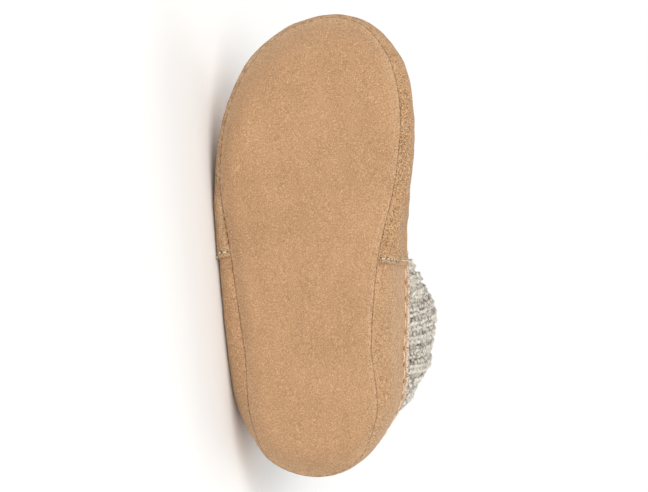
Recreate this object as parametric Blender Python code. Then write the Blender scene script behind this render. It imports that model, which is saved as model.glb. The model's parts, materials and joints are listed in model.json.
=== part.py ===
"""A small child's wool slipper for the right foot, lying on its outer side.

A turned suede slipper: a soft suede sole curls up to its seam, a suede upper of vamp and
heel piece bulges out above it, a felt footbed lies inside, and a ribbed wool collar
stands in the topline. The slipper is drawn as if worn, in its own axes: along runs from
heel to toe, across runs towards the inner side of the foot, up runs away from the sole.
It is then laid down on its outer side, where soft bulges flatten against the floor.
"""

from collections import namedtuple
import math

import bmesh
import bpy
from mathutils import Matrix, Vector
import numpy as np

# Overall sizes, in metres.
LENGTH = 0.150
BALL_WIDTH = 0.0590
HEEL_WIDTH = 0.0405
INSTEP_HEIGHT = 0.0470
ANKLE_HEIGHT = 0.0300
HEEL_HEIGHT = 0.0360
TOE_LIFT = 0.0090
SWELL = 0.0120

# Thicknesses of the pieces.
SOLE_THICKNESS = 0.0018
WALL = 0.0016
VAMP_LAP = 0.0010
FOOTBED_THICKNESS = 0.0030
COLLAR_THICKNESS = 0.0032
COLLAR_HEM = 0.0016

# The collar's mouth, its hem inside the topline, and its ribs.
MOUTH_HEIGHT = 0.0730
MOUTH_LENGTH = 0.0590
MOUTH_WIDTH = 0.0530
MOUTH_FROM_HEEL = 0.0475
MOUTH_OFFSET = -0.0005
COLLAR_SLACK = 0.0040
COLLAR_SPRING = 0.30
COLLAR_REACH = 0.36
HEM_DEPTH = 0.0060
RIB_COUNT = 42
RIB_DEPTH = 0.0010

# Clearances, and how far the soft wall gives where it lies on the floor.
SEAM_GAP = 0.0003
HEM_GAP = 0.0006
PRESS = 0.0009

# Weights that settle which way the slipper leans when it is laid down, in kg per cubic metre.
SUEDE_DENSITY = 900
WOOL_DENSITY = 300

# How finely the surfaces are divided, and how much of it follows the outline's turns.
STATIONS = 78
TURN_SHARE = 0.5
LAP_STEP = 0.0015
WALL_ROWS = 11
MARGIN_ROWS = 4
RIB_POINTS = 4
COLLAR_ROWS = 7

# One row for each place on the way round the slipper, from the back of the heel along the
# outer side to the toe and back along the inner side. seam_along and top_along are shares
# of LENGTH, seam_across and top_across are shares of the width there, lift is a share of
# TOE_LIFT, swell of SWELL, rise of the wall's height. lean is a share of SWELL: above 0 the
# wall closes in towards the topline, below 0 it opens out. over says how far the wall turns
# over the foot: 0 on an open side, 1 at the tip of the toe.
Place = namedtuple(
    "Place", "name seam_along seam_across lift swell rise top_along top_across top_up lean over"
)
PLACES = (
    Place("heel_back", 0.000, 0.018, 0.85, 0.10, 0.34, 0.036, 0.000, 1.00 * HEEL_HEIGHT, 0.16, 0.00),
    Place("heel_corner_out", 0.040, -0.400, 0.72, 0.31, 0.28, 0.060, -0.330, 0.98 * HEEL_HEIGHT, 0.22, 0.00),
    Place("heel_side_out", 0.100, -0.481, 0.46, 0.50, 0.30, 0.133, -0.570, 0.92 * HEEL_HEIGHT, 0.30, 0.00),
    Place("ankle_out", 0.270, -0.538, 0.34, 0.98, 0.12, 0.285, -0.650, 1.00 * ANKLE_HEIGHT, 0.10, 0.00),
    Place("side_seam_out", 0.476, -0.511, 0.34, 0.98, 0.10, 0.490, -0.490, 1.12 * ANKLE_HEIGHT, 0.05, 0.10),
    Place("ball_out", 0.655, -0.521, 0.37, 0.56, 0.30, 0.548, -0.410, 0.85 * INSTEP_HEIGHT, 0.25, 0.42),
    Place("little_toe_out", 0.800, -0.481, 0.66, 0.25, 0.26, 0.573, -0.270, 0.94 * INSTEP_HEIGHT, 0.08, 0.75),
    Place("toe_corner_out", 0.913, -0.342, 0.90, 0.27, 0.34, 0.583, -0.125, 0.98 * INSTEP_HEIGHT, 0.02, 0.93),
    Place("toe_front_out", 0.973, -0.145, 1.00, 0.22, 0.40, 0.588, -0.040, 1.00 * INSTEP_HEIGHT, 0.00, 0.99),
    Place("toe_tip", 0.997, 0.140, 1.00, 0.10, 0.42, 0.590, 0.020, 1.00 * INSTEP_HEIGHT, 0.00, 1.00),
    Place("toe_front_in", 0.979, 0.230, 0.92, 0.52, 0.40, 0.589, 0.080, 1.00 * INSTEP_HEIGHT, 0.00, 0.98),
    Place("toe_corner_in", 0.914, 0.402, 0.72, 0.72, 0.34, 0.585, 0.160, 0.98 * INSTEP_HEIGHT, 0.02, 0.92),
    Place("big_toe_in", 0.815, 0.483, 0.44, 0.54, 0.28, 0.577, 0.300, 0.94 * INSTEP_HEIGHT, 0.06, 0.75),
    Place("ball_in", 0.667, 0.474, 0.34, 0.36, 0.22, 0.556, 0.398, 0.86 * INSTEP_HEIGHT, 0.06, 0.42),
    Place("side_seam_in", 0.480, 0.412, 0.34, 0.50, 0.20, 0.465, 0.466, 1.13 * ANKLE_HEIGHT, 0.00, 0.08),
    Place("ankle_in", 0.290, 0.462, 0.34, 0.55, 0.20, 0.285, 0.598, 1.00 * ANKLE_HEIGHT, -0.05, 0.00),
    Place("heel_side_in", 0.113, 0.506, 0.46, 0.38, 0.22, 0.133, 0.537, 0.92 * HEEL_HEIGHT, 0.05, 0.00),
    Place("heel_corner_in", 0.026, 0.350, 0.72, 0.16, 0.28, 0.058, 0.325, 0.98 * HEEL_HEIGHT, 0.12, 0.00),
)
SIDE_SEAMS = ("side_seam_out", "side_seam_in")

# Where the sole leaves the floor: this many lifts in from its seam.
MARGIN_SHARE = 1.45
MARGIN_LEAST = 0.0060

# The shares of LENGTH between which the sole widens, and how steeply the wall comes up to the
# topline, on an open side and over the toes, as shares of its height.
HEEL_ENDS = 0.20
BALL_STARTS = 0.65
TOP_RISE = 0.34
TOP_RISE_OVER = 0.12

# The shares of the wall's height over which it leaves the seam's mitre and the vamp grows thick.
MITRE_SHARE = 0.12
LAP_SHARE = 0.08

# Suede tan, grey felt and the marled wool of the collar.
SUEDE_TAN = (0.58, 0.34, 0.18, 1.0)
SOLE_TAN = (0.57, 0.33, 0.17, 1.0)
FELT_GREY = (0.52, 0.49, 0.44, 1.0)
WOOL_GREY = (0.53, 0.48, 0.41, 1.0)
STEP = 1e-4


def smooth(x):
    x = np.clip(x, 0.0, 1.0)
    return x * x * (3 - 2 * x)


def unit(vectors):
    return vectors / np.linalg.norm(vectors, axis=-1, keepdims=True)


def width_at(along):
    """The sole's width, which grows from the heel's to the ball's under the arch."""
    share = smooth((along / LENGTH - HEEL_ENDS) / (BALL_STARTS - HEEL_ENDS))
    return HEEL_WIDTH + (BALL_WIDTH - HEEL_WIDTH) * share


class Outline:
    """Smooth closed curves through the places, read at any share of the way round."""

    def __init__(self, places):
        seam_along = np.array([p.seam_along for p in places]) * LENGTH
        top_along = np.array([p.top_along for p in places]) * LENGTH
        seam_across = np.array([p.seam_across for p in places]) * width_at(seam_along)
        top_across = np.array([p.top_across for p in places]) * width_at(top_along)
        self.columns = np.stack([
            seam_along,
            seam_across,
            np.array([p.lift for p in places]) * TOE_LIFT,
            top_along,
            top_across,
            np.array([p.top_up for p in places]),
            np.array([p.swell for p in places]) * SWELL,
            np.array([p.rise for p in places]),
            np.array([p.lean for p in places]) * SWELL,
            np.array([p.over for p in places]),
        ], axis=1)
        seam = self.columns[:, :2]
        chords = np.linalg.norm(np.roll(seam, -1, axis=0) - seam, axis=1)
        self.knots = np.concatenate([[0.0], np.cumsum(chords)]) / chords.sum()
        gaps = np.diff(self.knots)[:, None]
        slopes = (np.roll(self.columns, -1, axis=0) - self.columns) / gaps
        before, gaps_before = np.roll(slopes, 1, axis=0), np.roll(gaps, 1, axis=0)
        self.slopes = (before * gaps + slopes * gaps_before) / (gaps + gaps_before)
        self.share_of = {p.name: self.knots[i] for i, p in enumerate(places)}

    def read(self, share):
        share = np.mod(np.asarray(share, float), 1.0)
        i = np.clip(np.searchsorted(self.knots, share, side="right") - 1, 0, len(self.columns) - 1)
        j = (i + 1) % len(self.columns)
        gap = (self.knots[i + 1] - self.knots[i])[..., None]
        x = ((share - self.knots[i]) / (self.knots[i + 1] - self.knots[i]))[..., None]
        return (
            (1 + 2 * x) * (1 - x) ** 2 * self.columns[i]
            + x * (1 - x) ** 2 * gap * self.slopes[i]
            + x**2 * (3 - 2 * x) * self.columns[j]
            - x**2 * (1 - x) * gap * self.slopes[j]
        )


OUTLINE = Outline(PLACES)
UP = np.array([0.0, 0.0, 1.0])


def outward(share):
    """The level direction that points out of the slipper, square to the seam's plan."""
    run = OUTLINE.read(share + STEP)[..., :2] - OUTLINE.read(share - STEP)[..., :2]
    return unit(np.stack([run[..., 1], -run[..., 0], np.zeros(run.shape[:-1])], axis=-1))


def margin_run(share):
    """How far in from the seam the sole starts to curl up."""
    return np.maximum(MARGIN_SHARE * OUTLINE.read(share)[..., 2], MARGIN_LEAST)


def seam_directions(share):
    """At the seam: the surface's direction that sole and wall share, and the way into the slipper."""
    row = OUTLINE.read(share)
    lift, swell = row[..., 2], row[..., 6]
    rise = row[..., 7] * (row[..., 5] - lift)
    sole_slope = np.arctan2(2 * lift, margin_run(share))
    wall_slope = np.arctan2(rise, swell)
    slope = ((sole_slope + wall_slope) / 2)[..., None]
    out = outward(share)
    return out * np.cos(slope) + UP * np.sin(slope), UP * np.cos(slope) - out * np.sin(slope)


def seam_point(share):
    row = OUTLINE.read(share)
    return row[..., :3]


def sole_line(share, part):
    """The sole's outer face: part 0 is where it leaves the floor, 1 is the seam."""
    along_seam, _ = seam_directions(share)
    end = seam_point(share) - along_seam * SEAM_GAP / 2
    run = margin_run(share)[..., None]
    part = np.asarray(part)[..., None]
    level = end - outward(share) * run * (1 - part)
    level[..., 2:] = end[..., 2:] * part**2
    return level


def sole_skin(share, part, depth):
    """The sole's face, moved depth into the slipper."""
    _, mitre = seam_directions(share)
    out = outward(share)
    slope = np.arctan2(2 * OUTLINE.read(share)[..., 2] * part, margin_run(share))[..., None]
    square = UP * np.cos(slope) - out * np.sin(slope)
    blend = smooth((np.asarray(part) - 0.5) / 0.5)[..., None]
    return sole_line(share, part) + unit(square * (1 - blend) + mitre * blend) * depth


def wall_line(share, part):
    """The upper's face: part 0 is the seam, 1 is the topline."""
    row = OUTLINE.read(share)
    out = outward(share)
    along_seam, _ = seam_directions(share)
    foot = row[..., :3] + along_seam * SEAM_GAP / 2
    top = row[..., 3:6]
    swell, rise, lean, over = (row[..., i : i + 1] for i in (6, 7, 8, 9))
    height = (top - foot)[..., 2:]
    level = (foot - top) * np.array([1.0, 1.0, 0.0])
    low = foot + out * swell + UP * height * rise
    drop = TOP_RISE + (TOP_RISE_OVER - TOP_RISE) * over
    high = top + level * over / 2 + out * lean - UP * height * drop
    x = np.asarray(part)[..., None]
    return (1 - x) ** 3 * foot + 3 * x * (1 - x) ** 2 * low + 3 * x**2 * (1 - x) * high + x**3 * top


def wall_skin(share, part, depth):
    """The upper's face, moved depth into the slipper. A depth below 0 stands proud of it."""
    round_it = wall_line(share + STEP, part) - wall_line(share - STEP, part)
    up_it = wall_line(share, part + STEP) - wall_line(share, part - STEP)
    square = -unit(np.cross(round_it, up_it))
    _, mitre = seam_directions(share)
    blend = smooth(np.asarray(part) / MITRE_SHARE)[..., None]
    return wall_line(share, part) + unit(mitre * (1 - blend) + square * blend) * depth


def collar_line(share, part):
    """The collar's outer face above the topline: part 0 is the topline, 1 is the mouth."""
    foot = wall_skin(share, np.ones_like(share), WALL + HEM_GAP)
    below = wall_skin(share, np.ones_like(share) - 0.05, WALL + HEM_GAP)
    centre = np.array([MOUTH_FROM_HEEL, MOUTH_OFFSET])
    level = foot[..., :2] - centre
    angle = np.arctan2(level[..., 1] / MOUTH_WIDTH, level[..., 0] / MOUTH_LENGTH)
    rim = np.stack([
        centre[0] + MOUTH_LENGTH / 2 * np.cos(angle),
        centre[1] + MOUTH_WIDTH / 2 * np.sin(angle),
        np.full(angle.shape, MOUTH_HEIGHT),
    ], axis=-1)
    height = (rim - foot)[..., 2:]
    out = np.stack([np.cos(angle), np.sin(angle), np.zeros_like(angle)], axis=-1)
    low = foot + unit(foot - below) * height * COLLAR_SPRING + out * COLLAR_SLACK
    high = rim - UP * height * COLLAR_REACH + out * COLLAR_SLACK * 0.55
    x = np.asarray(part)[..., None]
    return (1 - x) ** 3 * foot + 3 * x * (1 - x) ** 2 * low + 3 * x**2 * (1 - x) * high + x**3 * rim


def collar_skin(share, part, depth):
    round_it = collar_line(share + STEP, part) - collar_line(share - STEP, part)
    up_it = collar_line(share, part + STEP) - collar_line(share, part - STEP)
    return collar_line(share, part) - unit(np.cross(round_it, up_it)) * np.asarray(depth)[..., None]


def vamp_lap(share):
    """1 on the vamp, 0 on the heel piece, with a short step at each side seam."""
    first, last = (OUTLINE.share_of[name] for name in SIDE_SEAMS)
    return np.where((share >= first) & (share <= last), 1.0, 0.0)


def stations():
    """Shares of the way round, closer together where the outline turns.

    A close pair at each side seam makes the step from the vamp down to the heel piece.
    """
    first, last = (OUTLINE.share_of[name] for name in SIDE_SEAMS)
    fine = np.linspace(0.0, 2.0, 2001)
    out = outward(fine)
    bend = np.linalg.norm(np.diff(out, axis=0), axis=1)
    turned = np.concatenate([[0.0], np.cumsum(bend)]) / bend.sum()
    pace = fine / 2 * (1 - TURN_SHARE) + turned * TURN_SHARE
    vamp = np.interp([first, last], fine, pace)
    heel = np.interp([last + LAP_STEP, 1.0 + first - LAP_STEP], fine, pace)
    vamp_count = round(STATIONS * 2 * (vamp[1] - vamp[0]))
    around = np.concatenate([
        np.interp(np.linspace(*vamp, vamp_count), pace, fine),
        np.interp(np.linspace(*heel, STATIONS - vamp_count), pace, fine),
    ])
    return np.mod(around, 1.0)


def ring_rows(skin, shares, parts, depths):
    """One ring of points for each part and depth."""
    rings = []
    for part, depth in zip(parts, depths):
        rings.append(skin(shares, np.full(shares.shape, part), depth))
    return rings


def sole_rings():
    shares = stations()
    parts = np.linspace(0.0, 1.0, MARGIN_ROWS)
    outer = ring_rows(sole_skin, shares, parts, [0.0] * len(parts))
    inner = ring_rows(sole_skin, shares, parts[::-1], [SOLE_THICKNESS] * len(parts))
    depth = [0.0] * len(parts) + [SOLE_THICKNESS] * len(parts)
    return outer + inner, depth


def footbed_rings():
    shares = stations()
    parts = np.linspace(0.0, 1.0, MARGIN_ROWS)[:-1]
    floor = SOLE_THICKNESS + SEAM_GAP
    lower = ring_rows(sole_skin, shares, parts, [floor] * len(parts))
    upper = ring_rows(sole_skin, shares, parts[::-1], [floor + FOOTBED_THICKNESS] * len(parts))
    depth = [floor] * len(parts) + [floor + FOOTBED_THICKNESS] * len(parts)
    return lower + upper, depth


def upper_rings():
    shares = stations()
    parts = np.linspace(0.0, 1.0, WALL_ROWS)
    lap = VAMP_LAP * vamp_lap(shares)[:, None]
    outer = [wall_skin(shares, np.full(shares.shape, p), -lap * smooth(p / LAP_SHARE)) for p in parts]
    inner = ring_rows(wall_skin, shares, parts[::-1], [WALL] * len(parts))
    depth = [0.0] * len(parts) + [WALL] * len(parts)
    return outer + inner, depth


def collar_shares():
    """Shares of the way round that lie evenly round the collar, so that its ribs are even."""
    fine = np.linspace(0.0, 1.0, 1201)
    ring = collar_line(fine, np.full(fine.shape, 0.4))
    run = np.concatenate([[0.0], np.cumsum(np.linalg.norm(np.diff(ring, axis=0), axis=1))])
    count = RIB_COUNT * RIB_POINTS
    return np.interp(np.arange(count) / count * run[-1], run, fine)


def collar_rings():
    shares = collar_shares()
    ribs = (1 - np.cos(np.arange(len(shares)) * 2 * math.pi / RIB_POINTS)) / 2 * RIB_DEPTH
    level = wall_line(shares, np.ones_like(shares))
    run = np.linalg.norm(level - wall_line(shares, np.full(shares.shape, 0.9)), axis=-1) / 0.1
    hem = 1 - HEM_DEPTH / run
    seat = WALL + HEM_GAP
    outer, inner, outer_depth, inner_depth = [], [], [], []
    for share_of_hem in (0.0, 0.5):
        part = hem + (1 - hem) * share_of_hem
        outer.append(wall_skin(shares, part, seat))
        inner.append(wall_skin(shares, part, seat + COLLAR_HEM))
        outer_depth.append(seat)
        inner_depth.append(seat + COLLAR_HEM)
    for part in np.linspace(0.0, 1.0, COLLAR_ROWS):
        grown = smooth(part / 0.25)
        thick = COLLAR_HEM + (COLLAR_THICKNESS - COLLAR_HEM) * grown
        outer.append(collar_skin(shares, np.full(shares.shape, part), ribs * grown))
        inner.append(collar_skin(shares, np.full(shares.shape, part), thick + ribs * grown))
        outer_depth.append(0.0)
        inner_depth.append(thick)
    return outer + inner[::-1], outer_depth + inner_depth[::-1]


def weigh(mesh, density):
    """A closed mesh's weight, and its weight times its middle."""
    mesh.calc_loop_triangles()
    corners = np.array([[mesh.vertices[i].co for i in tri.vertices] for tri in mesh.loop_triangles])
    volumes = np.einsum("ij,ij->i", corners[:, 0], np.cross(corners[:, 1], corners[:, 2])) / 6
    return density * volumes.sum(), density * (volumes[:, None] * corners.sum(axis=1) / 4).sum(axis=0)


def resting_plane(points, balance):
    """The face of the slipper's hull that it lies on, of those on its outer side.

    The slipper settles on the face that its point of balance is closest to. Returns the
    direction into the slipper and the face's distance along it.
    """
    hull = bmesh.new()
    for point in points:
        hull.verts.new(point)
    bmesh.ops.convex_hull(hull, input=hull.verts, use_existing_faces=False)
    best = None
    for face in hull.faces:
        face.normal_update()
        reach = face.normal.dot(Vector(balance) - face.verts[0].co)
        inward = face.normal if reach > 0 else -face.normal
        if inward.y > 0.9 and (best is None or abs(reach) < best[0]):
            best = (abs(reach), inward.copy(), inward.dot(face.verts[0].co))
    hull.free()
    return np.array(best[1]), best[2]


def press(mesh, depths, inward, floor):
    """Moves points below the floor up to it, by less where they lie deeper in the wall."""
    points = np.array([vert.co for vert in mesh.vertices])
    give = np.maximum(depths - (points @ inward - floor), 0.0)
    mesh.vertices.foreach_set("co", (points + give[:, None] * inward).ravel())
    mesh.update()


def mesh_of(name, rings, caps):
    """A closed mesh from rings of points; the last ring joins the first, or both get a flat cap."""
    mesh = bpy.data.meshes.new(name)
    count = len(rings[0])
    points = np.concatenate(rings)
    faces = []
    for row in range(len(rings) - 1 if caps else len(rings)):
        below, above = row * count, (row + 1) % len(rings) * count
        for i in range(count):
            j = (i + 1) % count
            faces.append((below + i, below + j, above + j, above + i))
    if caps:
        faces.append(tuple(reversed(range(count))))
        faces.append(tuple(range((len(rings) - 1) * count, len(rings) * count)))
    mesh.from_pydata(points.tolist(), [], faces)
    mesh.shade_smooth()
    mesh.set_sharp_from_angle(angle=math.radians(50))
    return mesh


def material(name, colour, roughness):
    made = bpy.data.materials.new(name)
    made.use_nodes = True
    shader = made.node_tree.nodes["Principled BSDF"]
    shader.inputs["Base Color"].default_value = colour
    shader.inputs["Roughness"].default_value = roughness
    shader.inputs["Metallic"].default_value = 0.0
    made.diffuse_color = colour
    return made


def lay_down(inward):
    """Turns the worn slipper so that the resting plane is the floor and the sole faces -Y."""
    z = unit(inward)
    y = unit(UP - z * np.dot(UP, z))
    x = np.cross(y, z)
    return Matrix([[*x, 0], [*y, 0], [*z, 0], [0, 0, 0, 1]])


def main():
    for obj in list(bpy.data.objects):
        bpy.data.objects.remove(obj)

    suede = material("upper suede", SUEDE_TAN, 0.95)
    slipper = bpy.data.objects.new("slipper", None)
    bpy.context.scene.collection.objects.link(slipper)
    pieces = (
        ("sole", sole_rings(), True, SUEDE_DENSITY, material("sole suede", SOLE_TAN, 0.95)),
        ("footbed", footbed_rings(), True, WOOL_DENSITY, material("footbed felt", FELT_GREY, 0.95)),
        ("upper", upper_rings(), False, SUEDE_DENSITY, suede),
        ("collar", collar_rings(), False, WOOL_DENSITY, material("collar wool", WOOL_GREY, 0.98)),
    )
    depths, weights, moments, points = {}, [], [], []
    for name, (rings, ring_depths), capped, density, finish in pieces:
        piece = bpy.data.objects.new(name, mesh_of(name, rings, capped))
        piece.data.materials.append(finish)
        piece.parent = slipper
        bpy.context.scene.collection.objects.link(piece)
        weight, moment = weigh(piece.data, density)
        weights.append(weight)
        moments.append(moment)
        points.append(np.concatenate(rings))
        depths[name] = np.concatenate([np.broadcast_to(d, len(rings[0])) for d in ring_depths])

    points = np.concatenate(points)
    inward, floor = resting_plane(points, sum(moments) / sum(weights))
    floor += PRESS
    for name, depth in depths.items():
        press(bpy.data.objects[name].data, depth, inward, floor)

    turn = lay_down(inward)
    placed = points @ np.array(turn.to_3x3()).T
    middle = (placed.min(axis=0) + placed.max(axis=0)) / 2
    slipper.matrix_world = Matrix.Translation((-middle[0], -middle[1], -floor)) @ turn


main()
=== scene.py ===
"""Looks of a small child's wool slipper: suede sole and upper, felt footbed, ribbed wool collar."""

from collections import namedtuple
import json
import math

import bmesh
import bpy
import numpy as np
from mathutils import Matrix, Vector
from mathutils.geometry import tessellate_polygon


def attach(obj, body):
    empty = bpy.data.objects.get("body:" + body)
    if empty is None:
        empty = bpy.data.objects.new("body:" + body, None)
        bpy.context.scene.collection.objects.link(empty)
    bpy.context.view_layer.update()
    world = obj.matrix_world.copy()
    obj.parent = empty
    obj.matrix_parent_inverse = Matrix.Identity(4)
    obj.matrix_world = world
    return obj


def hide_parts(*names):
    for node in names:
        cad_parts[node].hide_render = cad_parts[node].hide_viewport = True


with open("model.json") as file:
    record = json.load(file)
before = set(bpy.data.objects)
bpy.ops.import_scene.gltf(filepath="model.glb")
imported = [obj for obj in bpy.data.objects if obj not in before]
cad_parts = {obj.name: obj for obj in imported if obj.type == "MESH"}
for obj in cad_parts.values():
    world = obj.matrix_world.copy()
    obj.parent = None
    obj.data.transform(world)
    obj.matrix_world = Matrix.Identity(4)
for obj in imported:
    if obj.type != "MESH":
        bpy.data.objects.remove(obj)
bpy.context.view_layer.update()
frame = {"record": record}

MM = 0.001


# Suede sole. One soft blank of split leather, nap outwards, nearly straight and broad. It is
# sewn to the upper inside out and turned, so its edge curls up to the seam and rolls in there.
LENGTH = 150 * MM
BALL_WIDTH = 59 * MM
HEEL_WIDTH = 40.5 * MM
INSTEP_HEIGHT = 47 * MM
ANKLE_HEIGHT = 30 * MM
HEEL_HEIGHT = 36 * MM
TOE_LIFT = 9 * MM
SWELL = 12 * MM
HEEL_ENDS = 0.20
BALL_STARTS = 0.65
TOP_RISE = 0.34
TOP_RISE_OVER = 0.12
MARGIN_SHARE = 1.45
MARGIN_LEAST = 6 * MM
STEP = 1e-4

# The last, as shares of those sizes: one row for each place on the way round, from the back of
# the heel along the outer side to the toe and back. lean below 0 opens the wall out, and over
# says how far the wall turns over the foot.
Place = namedtuple(
    "Place", "name seam_along seam_across lift swell rise top_along top_across top_up lean over"
)
PLACES = (
    Place("heel_back", 0.000, 0.018, 0.85, 0.10, 0.34, 0.036, 0.000, 1.00 * HEEL_HEIGHT, 0.16, 0.00),
    Place("heel_corner_out", 0.046, -0.400, 0.72, 0.26, 0.28, 0.060, -0.330, 0.98 * HEEL_HEIGHT, 0.22, 0.00),
    Place("heel_side_out", 0.100, -0.481, 0.46, 0.50, 0.30, 0.133, -0.570, 0.92 * HEEL_HEIGHT, 0.30, 0.00),
    Place("ankle_out", 0.270, -0.538, 0.34, 0.98, 0.12, 0.285, -0.650, 1.00 * ANKLE_HEIGHT, 0.10, 0.00),
    Place("side_seam_out", 0.476, -0.511, 0.34, 0.98, 0.10, 0.490, -0.490, 1.12 * ANKLE_HEIGHT, 0.05, 0.10),
    Place("ball_out", 0.655, -0.521, 0.37, 0.56, 0.30, 0.548, -0.410, 0.85 * INSTEP_HEIGHT, 0.25, 0.42),
    Place("little_toe_out", 0.800, -0.475, 0.66, 0.36, 0.26, 0.573, -0.270, 0.94 * INSTEP_HEIGHT, 0.08, 0.75),
    Place("toe_corner_out", 0.910, -0.330, 0.90, 0.60, 0.34, 0.583, -0.125, 0.98 * INSTEP_HEIGHT, 0.02, 0.93),
    Place("toe_front_out", 0.969, -0.142, 1.00, 0.68, 0.40, 0.588, -0.040, 1.00 * INSTEP_HEIGHT, 0.00, 0.99),
    Place("toe_tip", 0.991, 0.130, 1.00, 0.66, 0.42, 0.590, 0.020, 1.00 * INSTEP_HEIGHT, 0.00, 1.00),
    Place("toe_front_in", 0.980, 0.238, 0.92, 0.71, 0.40, 0.589, 0.080, 1.00 * INSTEP_HEIGHT, 0.00, 0.98),
    Place("toe_corner_in", 0.914, 0.402, 0.72, 0.80, 0.34, 0.585, 0.160, 0.98 * INSTEP_HEIGHT, 0.02, 0.92),
    Place("big_toe_in", 0.815, 0.483, 0.44, 0.60, 0.28, 0.577, 0.300, 0.94 * INSTEP_HEIGHT, 0.06, 0.75),
    Place("ball_in", 0.667, 0.474, 0.34, 0.42, 0.22, 0.556, 0.398, 0.86 * INSTEP_HEIGHT, 0.06, 0.42),
    Place("side_seam_in", 0.463, 0.414, 0.34, 0.52, 0.20, 0.459, 0.478, 1.13 * ANKLE_HEIGHT, 0.00, 0.08),
    Place("ankle_in", 0.290, 0.462, 0.34, 0.55, 0.20, 0.285, 0.598, 1.00 * ANKLE_HEIGHT, -0.05, 0.00),
    Place("heel_side_in", 0.113, 0.506, 0.46, 0.38, 0.22, 0.133, 0.537, 0.92 * HEEL_HEIGHT, 0.05, 0.00),
    Place("heel_corner_in", 0.033, 0.346, 0.72, 0.10, 0.28, 0.058, 0.325, 0.98 * HEEL_HEIGHT, 0.12, 0.00),
)


def smooth(x):
    """0 up to x = 0, 1 from x = 1 on, and smooth between."""
    x = np.clip(x, 0.0, 1.0)
    return x * x * (3 - 2 * x)


def unit(vectors):
    return vectors / np.linalg.norm(vectors, axis=-1, keepdims=True)


def width_at(along):
    """The last's width at a distance from the back of the heel."""
    return HEEL_WIDTH + (BALL_WIDTH - HEEL_WIDTH) * smooth(
        (along / LENGTH - HEEL_ENDS) / (BALL_STARTS - HEEL_ENDS)
    )


# The outline at a share of the way round: the seam's point, the topline's point, and the wall's
# numbers as columns that multiply points.
Section = namedtuple("Section", "foot top swell rise lean over")


class Outline:
    """Smooth closed curves through the places, read at any share of the way round."""

    def __init__(self, places):
        shares = Place(None, *np.array([place[1:] for place in places]).T)
        seam_along, top_along = shares.seam_along * LENGTH, shares.top_along * LENGTH
        self.columns = np.stack([
            seam_along,
            shares.seam_across * width_at(seam_along),
            shares.lift * TOE_LIFT,
            top_along,
            shares.top_across * width_at(top_along),
            shares.top_up,
            shares.swell * SWELL,
            shares.rise,
            shares.lean * SWELL,
            shares.over,
        ], axis=1)
        seam = self.columns[:, :2]
        chords = np.linalg.norm(np.roll(seam, -1, axis=0) - seam, axis=1)
        self.around = chords.sum()
        self.knots = np.concatenate([[0.0], np.cumsum(chords)]) / self.around
        gaps = np.diff(self.knots)[:, None]
        slopes = (np.roll(self.columns, -1, axis=0) - self.columns) / gaps
        before, gaps_before = np.roll(slopes, 1, axis=0), np.roll(gaps, 1, axis=0)
        self.slopes = (before * gaps + slopes * gaps_before) / (gaps + gaps_before)
        self.share_of = {p.name: self.knots[i] for i, p in enumerate(places)}

    def read(self, share):
        share = np.mod(np.asarray(share, float), 1.0)
        i = np.clip(np.searchsorted(self.knots, share, side="right") - 1, 0, len(self.columns) - 1)
        j = (i + 1) % len(self.columns)
        gap = (self.knots[i + 1] - self.knots[i])[..., None]
        x = ((share - self.knots[i]) / (self.knots[i + 1] - self.knots[i]))[..., None]
        row = (
            (1 + 2 * x) * (1 - x) ** 2 * self.columns[i]
            + x * (1 - x) ** 2 * gap * self.slopes[i]
            + x**2 * (3 - 2 * x) * self.columns[j]
            - x**2 * (1 - x) * gap * self.slopes[j]
        )
        return Section(row[..., :3], row[..., 3:6], *(row[..., k : k + 1] for k in range(6, 10)))


OUTLINE = Outline(PLACES)
UP = np.array([0.0, 0.0, 1.0])
SOLE_THICKNESS = 1.8 * MM
SEAM_GAP = 0.06 * MM
SEAM_ROLL = 0.29 * MM
SEAM_STITCH = 2.6 * MM
HEEL_MARK = (30 * MM, -4 * MM)


def slipper_axes(record):
    """The slipper's own axes in the shared frame, from the record's two faces under its tread."""
    marks = {mount["name"]: mount for mount in record["mounts"]}
    up = -unit(np.array(marks["tread"]["axis"]))
    heel = np.array(marks["tread_heel"]["pos_m"])
    along = np.array(marks["tread"]["pos_m"]) - heel
    along = unit(along - up * along.dot(up))
    across = np.cross(up, along)
    return np.stack([along, across, up]), heel - along * HEEL_MARK[0] - across * HEEL_MARK[1]


AXES, HEEL_POINT = slipper_axes(frame["record"])
SOFTNESS = 0.25 * MM


def lay(points, depth=0.0):
    """Places the slipper's points in the shared frame, with soft parts flattened on the floor."""
    placed = points @ AXES + HEEL_POINT
    over = (placed[..., 2] - depth) / SOFTNESS
    placed[..., 2] = depth + SOFTNESS * np.logaddexp(0.0, over)
    return placed


def outward(share):
    """The level way out of the slipper, square to its seam."""
    run = OUTLINE.read(share + STEP).foot - OUTLINE.read(share - STEP).foot
    return unit(np.stack([run[..., 1], -run[..., 0], np.zeros(run.shape[:-1])], axis=-1))


def margin_run(share):
    """How far in from the seam the sole's edge starts to curl up."""
    return np.maximum(MARGIN_SHARE * OUTLINE.read(share).foot[..., 2], MARGIN_LEAST)


def seam_directions(share):
    """At the seam: the surface's direction that sole and wall share, and the way in."""
    at = OUTLINE.read(share)
    lift = at.foot[..., 2:]
    sole_slope = np.arctan2(2 * lift, margin_run(share)[..., None])
    wall_slope = np.arctan2(at.rise * (at.top[..., 2:] - lift), at.swell)
    slope = (sole_slope + wall_slope) / 2
    out = outward(share)
    return out * np.cos(slope) + UP * np.sin(slope), UP * np.cos(slope) - out * np.sin(slope)


def column(values, share):
    """One value, or one for each share, as a column that multiplies points."""
    return np.broadcast_to(values, share.shape)[..., None]


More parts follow.
